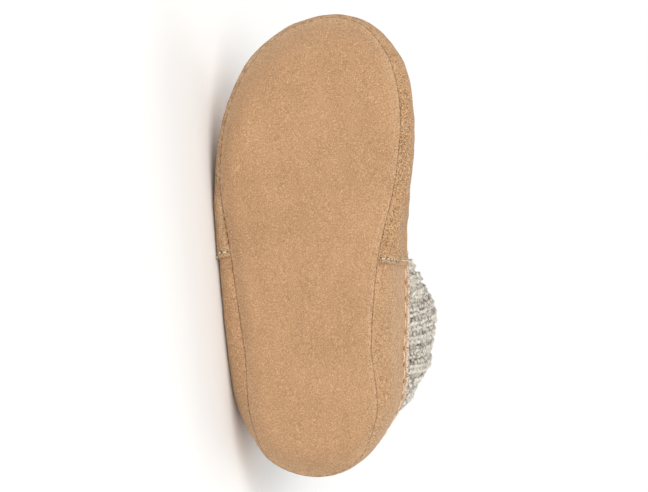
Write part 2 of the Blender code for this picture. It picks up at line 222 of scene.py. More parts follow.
def sole_skin(share, part, depth):
    """The sole's face, moved depth into the slipper: part 0 leaves the floor, 1 is the seam."""
    along_seam, mitre = seam_directions(share)
    out, foot = outward(share), OUTLINE.read(share).foot
    run = margin_run(share)[..., None]
    end = foot - along_seam * SEAM_GAP / 2
    x = column(part, share)
    level = end - out * run * (1 - x)
    level[..., 2:] = end[..., 2:] * x**2
    slope = np.arctan2(2 * foot[..., 2:] * x, run)
    square = UP * np.cos(slope) - out * np.sin(slope)
    blend = smooth((x - 0.5) / 0.5)
    return level + unit(square * (1 - blend) + mitre * blend) * column(depth, share)


def drift(points, size, seed):
    """A smooth random field between about -1 and 1, with swells of the given size."""
    chance = np.random.default_rng(seed)
    total = np.zeros(points.shape[:-1])
    for _ in range(9):
        way = unit(chance.normal(size=3)) * 2 * math.pi / size * chance.uniform(0.6, 1.5)
        total += np.sin(points @ way + chance.uniform(0, 2 * math.pi))
    return total / 3.2


def rolled(distance, radius):
    """How deep an edge that rolls in lies at a distance from its end."""
    left = np.clip(1 - distance / radius, 0.0, 1.0)
    return radius * (1 - np.sqrt(1 - left**2))


def squares(grid):
    """The four corners of each cell of a grid of numbers or points, in order round the cell."""
    return np.stack([grid[:-1, :-1], grid[:-1, 1:], grid[1:, 1:], grid[1:, :-1]], 2)


def shell(name, outer, inner, outer_depth, inner_depth, around, spine=False, tones=()):
    """A closed piece of cloth between two grids of points, in rows across it.

    around joins each row's ends. spine closes the last rows over the middle of a sole.
    tones are (name, outer values, inner value), kept as attributes for the finish.
    """
    rows, count = outer.shape[:2]
    points = np.concatenate([
        lay(outer, outer_depth).reshape(-1, 3), lay(inner, inner_depth).reshape(-1, 3)
    ])
    grid = np.arange(rows * count).reshape(rows, count)
    low, high = grid, grid + rows * count
    if around:
        low, high = (np.concatenate([g, g[:, :1]], axis=1) for g in (low, high))
    faces = [squares(low).reshape(-1, 4), squares(high).reshape(-1, 4)[:, ::-1]]

    def strip(a, b):
        return np.stack([a[:-1], b[:-1], b[1:], a[1:]], -1)

    faces.append(strip(low[0], high[0]))
    if not around:
        faces.append(strip(low[:, 0], high[:, 0])[:, ::-1])
        faces.append(strip(low[:, -1], high[:, -1]))
    caps = []
    if spine:
        for layer in (grid[-1], grid[-1] + rows * count):
            ring = [Vector(points[i]) for i in layer]
            caps += [[int(layer[i]) for i in three] for three in tessellate_polygon([ring])]
    else:
        faces.append(strip(low[-1], high[-1])[:, ::-1])
    mesh = bpy.data.meshes.new(name)
    mesh.from_pydata(points.tolist(), [], np.concatenate(faces).tolist() + caps)
    for tone, values, inside in tones:
        layer = mesh.attributes.new(tone, "FLOAT", "POINT")
        values = np.broadcast_to(values, (rows, count)).ravel()
        layer.data.foreach_set("value", np.concatenate([values, np.full(values.shape, inside)]))
    return finished(name, mesh)


def finished(name, mesh):
    """An object of the mesh, with its faces turned outwards and shaded smooth."""
    loose = bmesh.new()
    loose.from_mesh(mesh)
    bmesh.ops.recalc_face_normals(loose, faces=loose.faces)
    loose.to_mesh(mesh)
    loose.free()
    mesh.shade_smooth()
    piece = bpy.data.objects.new(name, mesh)
    bpy.context.scene.collection.objects.link(piece)
    return piece


def even_shares(count):
    """Shares of the way round, as many on the outer side as on the inner one."""
    toe = OUTLINE.share_of["toe_tip"]
    out = np.linspace(0.0, toe, count // 2, endpoint=False)
    back = np.linspace(toe, 1.0, count // 2, endpoint=False)
    return np.concatenate([out, back])


ROLL_STEPS = np.array([0.0, 0.03, 0.08, 0.15, 0.25, 0.42, 0.70, 1.05]) * MM
SOLE_WAVE = 0.22 * MM
SPINE_LENGTH = 0.72
SPINE_WIDTH = 0.18
SPINE_AT = 0.49
TOES_START = 0.80
TOES_BLEND = 0.12


def to_spine(flat, steps):
    """Rows from a ring on the flat in to the spine, at the ring's own heights."""
    middle = np.array([LENGTH * SPINE_AT, flat[:, 1].mean(), 0.0])
    spine = middle + (flat - middle) * np.array([SPINE_LENGTH, SPINE_WIDTH, 1.0])
    return [flat + (spine - flat) * x for x in np.linspace(0.0, 1.0, steps + 1)[1:]]


def sole_grid(shares, depth, roll):
    """Rows from the seam over the curled margin and the flat to the spine, and how far in."""
    run = margin_run(shares)
    distances = [np.full(shares.shape, step) for step in ROLL_STEPS]
    deeps = list(depth + rolled(ROLL_STEPS, SEAM_ROLL) * roll)
    for share_in in np.linspace(0.0, 1.0, 10)[1:]:
        distances.append(ROLL_STEPS[-1] + (run - ROLL_STEPS[-1]) * share_in)
        deeps.append(depth)
    grid = [sole_skin(shares, 1 - far / run, deep) for far, deep in zip(distances, deeps)]
    flat = grid[-1]
    inside = to_spine(flat, 12)
    distances += [run + np.linalg.norm(row - flat, axis=-1) for row in inside]
    grid, distances = np.stack(grid + inside), np.stack(distances)
    sway = drift(grid, 34 * MM, 3) + 0.5 * drift(grid, 13 * MM, 4)
    grid[..., 2] += SOLE_WAVE * sway * smooth(distances / (7 * MM))
    return grid, distances


def over_toes(foot):
    """0 behind the toes and 1 over them."""
    return smooth((foot[..., 0] / LENGTH - TOES_START) / TOES_BLEND)


def seam_shade(shares, distances, reach):
    """Painted shade in the groove next to the sole's seam, darkest at its stitches, and faint at the outer
    toes.
    """
    foot = OUTLINE.read(shares).foot
    stitch = 0.55 + 0.45 * np.cos(shares * OUTLINE.around / SEAM_STITCH * 2 * math.pi)
    inner = smooth(foot[..., 1] / (12 * MM))
    # How strong the painted shade is: uneven along the seam, weaker on the inner side and over the toes.
    shade_strength = (0.85 + 0.25 * drift(foot, 9 * MM, 12)) * (1 - 0.45 * inner)
    shade_strength = shade_strength * (1 - (0.85 - 0.70 * inner) * over_toes(foot))
    return np.exp(-((distances / reach) ** 2)) * stitch * shade_strength


class Wire:
    """A value that varies over a surface. Arithmetic on wires adds Math nodes."""

    def __init__(self, finish, socket):
        self.finish, self.socket = finish, socket

    def maths(self, operation, first, second=0.0):
        return self.finish.node("ShaderNodeMath", {"operation": operation}, {0: first, 1: second})

    def __add__(self, other):
        return self.maths("ADD", self, other)

    __radd__ = __add__

    def __sub__(self, other):
        return self.maths("SUBTRACT", self, other)

    def __rsub__(self, other):
        return self.maths("SUBTRACT", other, self)

    def __mul__(self, other):
        return self.maths("MULTIPLY", self, other)

    __rmul__ = __mul__

    def sine(self):
        return self.maths("SINE", self)

    def near(self, centre, reach):
        """1 at centre, falling to 0 at reach to either side of it."""
        away = (self - centre) * (1 / reach)
        return (1 - away * away).above(0.0, 0.8)

    def above(self, low, high):
        """0 below low, 1 above high, and smooth between."""
        return self.finish.node(
            "ShaderNodeMapRange",
            {"interpolation_type": "SMOOTHSTEP"},
            {"Value": self, "From Min": low, "From Max": high},
        )


class Finish:
    """A material with one Principled shader and the nodes that feed it."""

    def __init__(self, name, roughness, gloss, sheen=0.0, sheen_roughness=0.5, colour=None):
        self.material = bpy.data.materials.new(name)
        self.material.use_nodes = True
        self.tree = self.material.node_tree
        self.shader = self.tree.nodes["Principled BSDF"]
        self.constant("Roughness", roughness)
        self.constant("Specular IOR Level", gloss)
        self.constant("Sheen Weight", sheen)
        self.constant("Sheen Roughness", sheen_roughness)
        if colour:
            self.constant("Base Color", colour)

    def constant(self, socket, value):
        self.shader.inputs[socket].default_value = value

    def node(self, kind, settings, sockets, output=0):
        """One output of a new node, given its settings and its sockets' values or links."""
        made = self.tree.nodes.new(kind)
        for key, value in settings.items():
            setattr(made, key, value)
        for key, value in sockets.items():
            if isinstance(value, Wire):
                self.tree.links.new(value.socket, made.inputs[key])
            else:
                made.inputs[key].default_value = value
        return Wire(self, made.outputs[output])

    def noise(self, size, detail=2.0, roughness=0.5, stretch=(1.0, 1.0, 1.0)):
        """Cloudy noise about 0, with patches of a size in metres, drawn out along an axis."""
        point = self.node("ShaderNodeTexCoord", {}, {}, "Object")
        drawn = self.node("ShaderNodeVectorMath", {"operation": "MULTIPLY"}, {0: point, 1: stretch})
        sockets = {"Vector": drawn, "Scale": 1 / size, "Detail": detail, "Roughness": roughness}
        return self.node("ShaderNodeTexNoise", {}, sockets) - 0.5

    def tone(self, name):
        return self.node("ShaderNodeAttribute", {"attribute_name": name}, {}, "Fac")

    def twist(self, lay_length, plies):
        """From -1 to 1 over a thread's twisted plies, which turn once in lay_length."""
        thread_map = self.node("ShaderNodeUVMap", {"uv_map": "Thread"}, {})
        along = self.node("ShaderNodeSeparateXYZ", {}, {0: thread_map})
        round_it = Wire(self, along.socket.node.outputs[1])
        return ((along * (1 / lay_length) + round_it) * (2 * math.pi * plies)).sine()

    def mix(self, share, first, second):
        """A colour between two colours, which are the Mix node's sockets 6 and 7."""
        sockets = {0: share, 6: first, 7: second}
        return self.node("ShaderNodeMix", {"data_type": "RGBA"}, sockets, 2)

    def feed(self, socket, wire):
        self.tree.links.new(wire.socket, self.shader.inputs[socket])

    def raise_by(self, height, distance):
        """Bumps the surface by a height that counts in units of distance."""
        bump = self.node("ShaderNodeBump", {}, {"Height": height, "Distance": distance})
        self.feed("Normal", bump)


def shade(colour, by, warmer=0.0):
    """The colour, lighter or darker, with green and blue taken down by warmer and twice that."""
    red, green, blue = colour[:3]
    return (red * by, green * by * (1 - warmer), blue * by * (1 - 2 * warmer), 1.0)


SOLE_TAN = (0.421, 0.245, 0.127, 1.0)
RAW_TAN = (0.82, 0.56, 0.34, 1.0)
TIP_TAN = (0.77, 0.54, 0.32, 1.0)
# Deep brown of the painted shade in the seam's groove, along the lapped edge and in the needle holes.
SEAM_SHADE_BROWN = (0.25, 0.095, 0.024, 1.0)
NAP_SHEEN = (1.0, 0.86, 0.70, 1.0)
BRUSHED_PATCH = 26 * MM
BRUSH_MARK = 7 * MM
NAP_STROKE = 2.2 * MM
NAP_FINE = 0.24 * MM
EVEN = (1.0, 1.0, 1.0)


def suede(
    name, colour, grain_size, mottle, speckle, nap, lie=EVEN, raw_colour=RAW_TAN, holes=None
):
    """Brushed split leather. mottle is in the brushed patches, speckle and nap in the grain.

    The grain is fainter where the piece's tone says that wear has smoothed it.
    lie draws the nap out along an axis, and holes gives where a needle went through.
    """
    leather = Finish(name, 0.92, 0.18, 0.22, 0.55)
    leather.constant("Sheen Tint", NAP_SHEEN)
    patches = leather.noise(BRUSHED_PATCH, 3.0)
    patches = patches + leather.noise(BRUSH_MARK, 3.0, 0.6, (0.55, 1.0, 1.0)) * 0.8
    strokes = leather.noise(NAP_STROKE, 3.0, 0.65, (0.45, 1.0, 1.0))
    grain = leather.noise(grain_size, 2.0, 0.6, lie)
    fine = leather.noise(NAP_FINE, 1.0, 0.5, lie)
    rough = 1 - leather.tone("smoothed") * 0.65
    level = patches * (2.1 * mottle) + strokes * (0.9 * mottle)
    level = level + (grain * 1.7 + fine * 1.1) * rough * speckle
    swing = 0.22 + 0.075 * speckle
    level = level * (0.30 / swing) + 0.5
    tan = leather.mix(level, shade(colour, 1 - swing, 0.04), shade(colour, 1 + swing, -0.01))
    pores = grain.above(-0.16, -0.28) * rough * (0.4 * speckle)
    tan = leather.mix(pores, tan, shade(colour, 0.50, 0.08))
    tips = (grain + fine * 0.8).above(0.12, 0.27) * rough * (0.30 * speckle)
    tan = leather.mix(tips, tan, TIP_TAN)
    # The raw tone marks raw cut edges, and on the vamp also painted light low on the outer side and over the
    # toes.
    raw_and_painted_light = leather.tone("raw_and_painted_light")
    torn = (grain * rough * 3.2 + strokes * 1.4 + 0.60).above(0.25, 0.85)
    tan = leather.mix(raw_and_painted_light * torn, tan, raw_colour)
    # Painted shade: the seam tone darkens the suede in the sole seam's groove and along the vamp's lapped
    # edge.
    tan = leather.mix(leather.tone("seam") * 0.85, tan, SEAM_SHADE_BROWN)
    height = (grain * nap + fine * (0.5 * nap) + strokes * nap) * (1.0 + raw_and_painted_light)
    if holes:
        # Painted shade: the needle holes are darkened as well as pressed in.
        pierced = holes(leather)
        tan = leather.mix(pierced * 0.9, tan, SEAM_SHADE_BROWN)
        height = height - pierced * 1.1
    leather.feed("Base Color", tan)
    leather.raise_by(height, 0.5 * MM)
    return leather.material


shares = even_shares(720)
outer, reach = sole_grid(shares, 0.0, roll=True)
inner, _ = sole_grid(shares, SOLE_THICKNESS, roll=False)
sole = shell(
    "sole_suede", outer, inner, 0.0, SOLE_THICKNESS, around=True, spine=True,
    tones=(
        ("seam", seam_shade(shares, reach, 0.30 * MM), 0.0),
        ("raw_and_painted_light", np.exp(-reach / (1.2 * MM)) * 0.45, 0.6),
    ),
)
sole.data.materials.append(
    suede("sole suede", SOLE_TAN, grain_size=0.45 * MM, mottle=0.20, speckle=1.15, nap=0.50)
)
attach(sole, "root")
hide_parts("sole")


# Felt footbed. A pressed wool felt cut to the last's bottom, 3 mm thick, laid on the sole. It
# isn't in the photo, and such slippers have it plain.
FELT_THICKNESS = 3 * MM
FELT_GAP = 0.15 * MM
FELT_WAVE = 0.15 * MM
FELT_PATCH = 6 * MM
FELT_HAIR = 0.7 * MM
FELT_GREY = (0.50, 0.46, 0.40, 1.0)


def felt_grid(shares, depth, bulge):
    """Rows from the felt's cut edge in to the spine."""
    edge = (0.62, 0.60, 0.52, 0.40, 0.25, 0.0)
    drop = (0.9, 0.35, 0.05, 0.0, 0.0, 0.0)
    grid = [sole_skin(shares, part, depth + bulge * d * MM) for part, d in zip(edge, drop)]
    grid = np.stack(grid + to_spine(grid[-1], 8))
    grid[..., 2] += FELT_WAVE * drift(grid, 11 * MM, 8)
    return grid


def felt(name, colour):
    """Pressed wool: short crossing hairs and soft patches."""
    wool = Finish(name, 0.97, 0.12, 0.30, 0.6)
    patches = wool.noise(FELT_PATCH, 3.0)
    lying = wool.noise(FELT_HAIR, 3.0, 0.7, (0.3, 1.0, 1.0))
    crossing = wool.noise(FELT_HAIR, 3.0, 0.7, (1.0, 1.0, 0.3))
    hairs = lying + crossing
    level = 0.5 + patches * 0.7 + hairs * 0.9
    wool.feed("Base Color", wool.mix(level, shade(colour, 0.72), shade(colour, 1.25)))
    wool.raise_by(hairs, 0.4 * MM)
    return wool.material


shares = even_shares(360)
lowest = SOLE_THICKNESS + FELT_GAP
footbed = shell(
    "footbed_felt", felt_grid(shares, lowest, 0.0), felt_grid(shares, lowest + FELT_THICKNESS, -1.0),
    lowest, lowest + FELT_THICKNESS, around=True, spine=True,
)
footbed.data.materials.append(felt("footbed felt", FELT_GREY))
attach(footbed, "root")
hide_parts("footbed")


# Heel piece. The rear half of the upper: one strip of the same suede round the heel, brushed
# smooth, sewn to the sole inside out. Its top edge laps over the collar's hem and is left raw.
WALL = 1.6 * MM
EDGE_ROUND = 0.55 * MM
LAP_UNDER = 3.2 * MM
TOP_FLARE = 1.5 * MM
FLARE_TURN = 16
FLARE_ACROSS = 18 * MM
FLARE_STARTS = 10 * MM
FLARE_ENDS = 75 * MM
FLARE_RISE = 20 * MM
FLARE_FALL = 12 * MM
NAP_LIE = (1.0, 0.38, 1.0)
HEEL_TAN = (0.438, 0.255, 0.129, 1.0)
FLESH_PINK = (0.76, 0.62, 0.54, 1.0)
WALL_ROWS = 30
WALL_COLUMNS = 420
SQUARE_FROM = 0.12


def wall_line(share, part, flare=TOP_FLARE):
    """The upper's face: part 0 is the seam, 1 is the topline, which flares on the inner side."""
    foot, top, swell, rise, lean, over = OUTLINE.read(share)
    out = outward(share)
    foot = foot + seam_directions(share)[0] * SEAM_GAP / 2
    height = (top - foot)[..., 2:]
    level = (foot - top) * np.array([1.0, 1.0, 0.0])
    low = foot + out * swell + UP * height * rise
    drop = TOP_RISE + (TOP_RISE_OVER - TOP_RISE) * over
    high = top + level * over / 2 + out * lean - UP * height * drop
    along, across = top[..., :1], top[..., 1:2]
    inner = smooth(across / FLARE_ACROSS) * smooth((FLARE_ENDS - along) / FLARE_FALL)
    inner = inner * smooth((along - FLARE_STARTS) / FLARE_RISE)
    x = column(part, share)
    line = (1 - x) ** 3 * foot + 3 * x * (1 - x) ** 2 * low + 3 * x**2 * (1 - x) * high + x**3 * top
    return line + out * flare * inner * np.abs(x) ** FLARE_TURN


def wall_square(share, part):
    """The way into the slipper, square to the upper's face."""
    round_it = wall_line(share + STEP, part) - wall_line(share - STEP, part)
    up_it = wall_line(share, part + STEP) - wall_line(share, part - STEP)
    square = -unit(np.cross(round_it, up_it))
    _, mitre = seam_directions(share)
    blend = smooth(column(part, share) / SQUARE_FROM)
    return unit(mitre * (1 - blend) + square * blend)


def wall_skin(share, part, depth):
    return wall_line(share, part) + wall_square(share, part) * column(depth, share)


def run_along(line):
    """How far along a line each of its points lies, or along each column of a grid of points."""
    steps = np.linalg.norm(np.diff(line, axis=0), axis=-1)
    return np.concatenate([np.zeros_like(steps[:1]), np.cumsum(steps, axis=0)])


def wall_parts(share):
    """Parts of the wall for rows that crowd at the seam and the topline, and how far they are."""
    near = 0.01
    start, end = (
        np.linalg.norm(wall_line(share, part + near) - wall_line(share, part), axis=-1) / near
        for part in (0.0, 1.0 - near)
    )
    low = ROLL_STEPS[:, None] / start
    high = 1 - EDGE_STEPS[::-1, None] / end
    between = np.linspace(0.0, 1.0, WALL_ROWS)[1:-1, None]
    parts = np.concatenate([low, low[-1] + (high[0] - low[-1]) * between, high])
    from_seam = run_along(np.stack([wall_line(share, part) for part in parts]))
    return parts, from_seam, from_seam[-1] - from_seam


EDGE_STEPS = np.array([0.0, 0.05, 0.14, 0.28, 0.45, 0.70, 1.10, 1.80]) * MM
END_STEPS = np.array([0.0, 0.05, 0.12, 0.22, 0.36, 0.55, 0.85, 1.3, 2.0]) * MM
CREASE_POINTS = 24

# Soft troughs and ridges where the foot bends the suede, from place to place round the wall. The
# parts are shares of the wall's height, and a depth below 0 is a ridge.
Crease = namedtuple("Crease", "start start_part end end_part width depth")
HEEL_CREASES = (
    Crease("heel_side_out", 0.74, "ankle_out", 0.60, 3.4 * MM, 0.55 * MM),
    Crease("heel_side_out", 0.56, "ankle_out", 0.40, 3.0 * MM, -0.35 * MM),
    Crease("heel_side_in", 0.66, "ankle_in", 0.52, 3.2 * MM, 0.40 * MM),
    Crease("heel_side_in", 0.44, "ankle_in", 0.34, 2.8 * MM, -0.22 * MM),
    Crease("heel_corner_out", 0.40, "heel_corner_out", 0.80, 3.0 * MM, 0.30 * MM),
)


def creased(points, creases):
    """How deep the listed creases press each point in."""
    total = np.zeros(points.shape[:-1])
    for crease in creases:
        first, last = OUTLINE.share_of[crease.start], OUTLINE.share_of[crease.end]
        x = np.linspace(0.0, 1.0, CREASE_POINTS)
        part = crease.start_part + (crease.end_part - crease.start_part) * x
        line = wall_line(first + (last - first) * x, part)
        apart = np.linalg.norm(points[..., None, :] - line, axis=-1)
        fade = np.sin(np.argmin(apart, axis=-1) / (CREASE_POINTS - 1) * math.pi) * 0.8 + 0.2
        total += crease.depth * fade * np.exp(-((apart.min(axis=-1) / crease.width) ** 2))
    return total


def strip_shares(first, last, count):
    """Shares from one end of a piece of the upper to the other, crowded at both ends."""
    ends = END_STEPS / OUTLINE.around
    between = np.linspace(first + ends[-1], last - ends[-1], count)[1:-1]
    return np.concatenate([first + ends, between, last - ends[::-1]])


def upper_piece(name, first, last, count, proud, under, creases, seed, tones):
    """A piece of the upper between two shares. proud and under give its two faces' depths."""
    shares = strip_shares(first, last, count)
    parts, from_seam, from_top = wall_parts(shares)
    from_end = np.minimum(shares - first, last - shares) * OUTLINE.around
    from_end = np.broadcast_to(from_end, from_seam.shape)
    line = np.stack([wall_line(shares, part) for part in parts])
    ins = np.stack([wall_square(shares, part) for part in parts])
    sway = drift(line, 17 * MM, seed) * 0.16 * MM + drift(line, 6 * MM, seed + 1) * 0.07 * MM
    press = (sway + creased(line, creases)) * smooth(from_seam / (5 * MM)) * smooth(from_top / (5 * MM))
    outer_depth = proud(from_seam, from_top, from_end) + press
    outer_depth = outer_depth + rolled(from_seam, SEAM_ROLL) + rolled(from_top, EDGE_ROUND)
    outer_depth = outer_depth + rolled(from_end, 0.35 * MM)
    inner_depth = under(from_end) + press
    outer = line + ins * outer_depth[..., None]
    inner = line + ins * np.maximum(inner_depth, outer_depth + 0.2 * MM)[..., None]
    flattened = np.clip(inner_depth, 0.2 * MM, None)
    return shell(
        name, outer, inner, 0.0, flattened, around=False,
        tones=tones(shares, from_seam, from_top, from_end),
    )


TOP_STITCH = 5.4 * MM
TOP_SHOWN = 4.5 * MM
TOP_INSET = 3.0 * MM
HOLE = 0.42 * MM


def below_top(inset, parts, from_top):
    """Each column's part of the wall at a distance below the topline."""
    columns = zip(from_top[::-1].T, parts[::-1].T)
    return np.array([np.interp(inset, distances, column) for distances, column in columns])


def stitched_line(first, last, inset):
    """A line of shares and parts a little below the topline, and how far along it each is."""
    shares = np.linspace(first, last, 900)
    parts, _, from_top = wall_parts(shares)
    part = below_top(inset, parts, from_top)
    return shares, part, run_along(wall_line(shares, part))


def heel_tones(shares, from_seam, from_top, from_end):
    """Raw at the top edge, a painted shadow along the vamp's lapped edge, and counted out along the running
    stitch.
    """
    rim = 1.5 * smooth((1.6 * MM - from_top) / (0.8 * MM))
    stitch = np.interp(shares, top_shares, top_run / top_pitch)
    # Painted shadow on the heel piece just beyond the vamp's lapped edge.
    lap_shadow = np.exp(-(((from_end - LAP_UNDER - 0.20 * MM) / (0.32 * MM)) ** 2)) * 0.8
    return (
        ("seam", seam_shade(shares, from_seam, 0.26 * MM) + lap_shadow, 0.0),
        ("raw_and_painted_light", rim + np.exp(-from_seam / (1.0 * MM)) * 0.10, 0.6),
        ("from_top", from_top, 1.0),
        ("stitch", stitch, 0.0),
    )


def top_holes(leather):
    """Where the running stitch under the topline goes in and comes out again."""
    gap = (1 + TOP_SHOWN / top_pitch) / 2
    between = ((leather.tone("stitch") - gap + 0.25) * (2 * math.pi)).sine().above(0.70, 0.92)
    return leather.tone("from_top").near(TOP_INSET, HOLE * 1.3) * between


seam_out, seam_in = OUTLINE.share_of["side_seam_out"], OUTLINE.share_of["side_seam_in"]
top_shares, top_parts, top_run = stitched_line(
    seam_in + 1.5 * MM / OUTLINE.around, 1 + seam_out - 1.5 * MM / OUTLINE.around, TOP_INSET
)
top_count = int(top_run[-1] / TOP_STITCH)
top_pitch = top_run[-1] / top_count
tuck = LAP_UNDER / OUTLINE.around
heel_piece = upper_piece(
    "heel_piece_suede", seam_in - tuck, 1 + seam_out + tuck, WALL_COLUMNS,
    proud=lambda from_seam, from_top, from_end: np.zeros(from_seam.shape),
    under=lambda from_end: np.full(from_end.shape, WALL),
    creases=HEEL_CREASES, seed=21, tones=heel_tones,
)
heel_piece.data.materials.append(suede(
    "heel piece suede", HEEL_TAN, grain_size=0.45 * MM, mottle=0.16, speckle=1.7, nap=0.5,
    lie=NAP_LIE, raw_colour=FLESH_PINK, holes=top_holes,
))
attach(heel_piece, "root")
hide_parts("upper")


# Vamp. The front half of the upper, over toes and instep, of the same suede with a longer,
# rougher nap. It laps over the heel piece at both side seams, where its cut edge is left raw.
VAMP_LAP = 0.85 * MM
LAP_GAP = 0.04 * MM
LAP_PROUD = 60 * MM
STITCH_PULL = 0.28 * MM
SIDE_STITCH = 2.1 * MM
SIDE_SHOWN = 1.35 * MM
SIDE_INSET = 1.55 * MM
SIDE_START = 1.2 * MM
VAMP_TAN = (0.456, 0.247, 0.111, 1.0)
VAMP_CREASES = (
    Crease("ball_out", 0.62, "ball_in", 0.62, 4.0 * MM, 0.50 * MM),
    Crease("ball_out", 0.34, "little_toe_out", 0.52, 3.2 * MM, 0.35 * MM),
    Crease("ball_in", 0.36, "big_toe_in", 0.52, 3.2 * MM, 0.30 * MM),
    Crease("little_toe_out", 0.72, "toe_tip", 0.66, 4.2 * MM, 0.45 * MM),
    Crease("toe_front_in", 0.66, "big_toe_in", 0.74, 4.2 * MM, 0.35 * MM),
)


def vamp_proud(from_seam, from_top, from_end):
    """The vamp stands proud of the heel piece at its lap and comes down flush at the toe.

    The side seam's stitches pull it in, and it puffs up a little between them and its edge.
    """
    flush = smooth((from_end - LAP_PROUD) / (28 * MM))
    pulled = STITCH_PULL * np.exp(-(((from_end - SIDE_INSET) / (0.55 * MM)) ** 2))
    low = smooth(from_seam / (2.2 * MM)) * (0.55 + 0.45 * smooth(from_top / (4 * MM)))
    return -VAMP_LAP * low * (1 - flush) + pulled


def vamp_under(from_end):
    """The vamp lies on the heel piece where it laps over it, and on the foot elsewhere."""
    return -LAP_GAP + (WALL + LAP_GAP) * smooth((from_end - 3.4 * MM) / (1.6 * MM))


def vamp_tones(shares, from_seam, from_top, from_end):
    """Raw at the cut edges and low on the wall, with painted light that widens and pales the low band on the
    outer side and over the toes, and worn smooth over the toes and outside.
    """
    foot = OUTLINE.read(shares).foot
    outer, toe = smooth(-foot[..., 1] / (18 * MM)), over_toes(foot)
    cut = smooth((2.7 * MM - from_end) / (1.0 * MM))
    rim = np.exp(-((from_top / (0.7 * MM)) ** 2)) * 0.6
    # Painted light: the pale band low on the wall reaches further and shows more on the outer side and over
    # the toes, where the wall turns from the light.
    reach = (1.5 + 2.0 * outer + 1.5 * toe) * MM
    low = np.exp(-from_seam / reach) * (0.45 + 0.30 * outer + 0.05 * toe)
    return (
        ("seam", seam_shade(shares, from_seam, 0.28 * MM), 0.0),
        ("raw_and_painted_light", np.clip(2 * cut + rim + low, 0.0, 2.0), 0.6),
        ("from_end", from_end, 1.0),
        ("from_seam", from_seam, 0.0),
        ("smoothed", np.maximum(toe, 0.75 * outer), 0.0),
    )


def side_holes(leather):
    """Where the rows that hold the vamp's rear edges go in and come out again."""
    gap = SIDE_START + (SIDE_STITCH + SIDE_SHOWN) / 2
    turn = (leather.tone("from_seam") - (gap - SIDE_STITCH / 4)) * (2 * math.pi / SIDE_STITCH)
    return leather.tone("from_end").near(SIDE_INSET, HOLE) * turn.sine().above(0.45, 0.85)


vamp = upper_piece(
    "vamp_suede", seam_out, seam_in, WALL_COLUMNS, proud=vamp_proud, under=vamp_under,
    creases=VAMP_CREASES, seed=31, tones=vamp_tones,
)
vamp.data.materials.append(suede(
    "vamp suede", VAMP_TAN, grain_size=0.46 * MM, mottle=0.20, speckle=3.2, nap=1.3,
    lie=NAP_LIE, holes=side_holes,
))
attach(vamp, "root")
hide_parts("upper")


# Seam and edge threads. Tan cotton: a close row holds the vamp down on the heel piece at each
# side, and a long running stitch catches the collar's hem under the heel piece's top edge.
THREAD = 0.24 * MM
THREAD_SIDES = 7
COTTON_LAY = 0.9 * MM
TOP_THREAD = (0.88, 0.69, 0.47, 1.0)
SIDE_THREAD = (0.96, 0.70, 0.42, 1.0)


def tubes(name, paths, facings, radii, sides, closed=False, furrow_shades=None):
    """One mesh of round threads: each path's points, the way off the cloth at them, and radii.

    The last argument, where given, is the painted shade at each point, from 0 to 1, deepest in the rib's
    furrows.
    """
    points, quads, caps, spread = [], [], [], []
    turn = np.arange(sides) * 2 * math.pi / sides
    base = 0
    for path, facing, radius in zip(paths, facings, radii):
        if closed:
            ahead = unit(np.roll(path, -1, axis=0) - np.roll(path, 1, axis=0))
        else:
            ahead = unit(np.gradient(path, axis=0))
        side = unit(np.cross(ahead, facing))
        lift = np.cross(side, ahead)
        radius = np.broadcast_to(radius, (len(path),))[:, None, None]
        round_it = np.cos(turn)[None, :, None] * lift[:, None] + np.sin(turn)[None, :, None] * side[:, None]
        points.append((path[:, None] + radius * round_it).reshape(-1, 3))
        count = len(path)
        grid = base + np.arange(count * sides).reshape(count, sides)
        run = run_along(path)
        if closed:
            grid = np.concatenate([grid, grid[:1]])
            run = np.concatenate([run, [run[-1] + np.linalg.norm(path[0] - path[-1])]])
        grid = np.concatenate([grid, grid[:, :1]], axis=1)
        quads.append(squares(grid).reshape(-1, 4))
        round_share = np.broadcast_to(np.arange(sides + 1) / sides, grid.shape)
        at = np.stack([np.broadcast_to(run[:, None], grid.shape), round_share], -1)
        spread.append(squares(at).reshape(-1, 2))
        if not closed:
            caps += [grid[0, :-1][::-1].tolist(), grid[-1, :-1].tolist()]
        base += count * sides
    mesh = bpy.data.meshes.new(name)
    mesh.from_pydata(np.concatenate(points).tolist(), [], np.concatenate(quads).tolist() + caps)
    layer = mesh.uv_layers.new(name="Thread")
    spread = np.concatenate(spread)
    spread = np.concatenate([spread, np.zeros((len(mesh.loops) - len(spread), 2))])
    layer.uv.foreach_set("vector", spread.astype(np.float32).ravel())
    if furrow_shades is not None:
        layer = mesh.attributes.new("furrow_shade", "FLOAT", "POINT")
        layer.data.foreach_set("value", np.repeat(np.concatenate(furrow_shades), sides))
    return finished(name, mesh)


def stitches(name, starts, ends, place, height):
    """Threads that come up at one share and part, lie on the suede and go down at another."""
    x = np.linspace(0.0, 1.0, 9)
    arch = np.sin(x * math.pi) ** 0.5 * height - THREAD * 1.6 * (1 - np.sin(x * math.pi))
    paths, facings, radii = [], [], []
    for start, end in zip(starts, ends):
        share = start[0] + (end[0] - start[0]) * x
        part = start[1] + (end[1] - start[1]) * x
        paths.append(lay(place(share, part, -arch), THREAD))
        facings.append(-wall_square(share, part) @ AXES)
        radii.append(THREAD * (0.8 + 0.2 * np.sin(x * math.pi)))
    return tubes(name, paths, facings, radii, THREAD_SIDES)


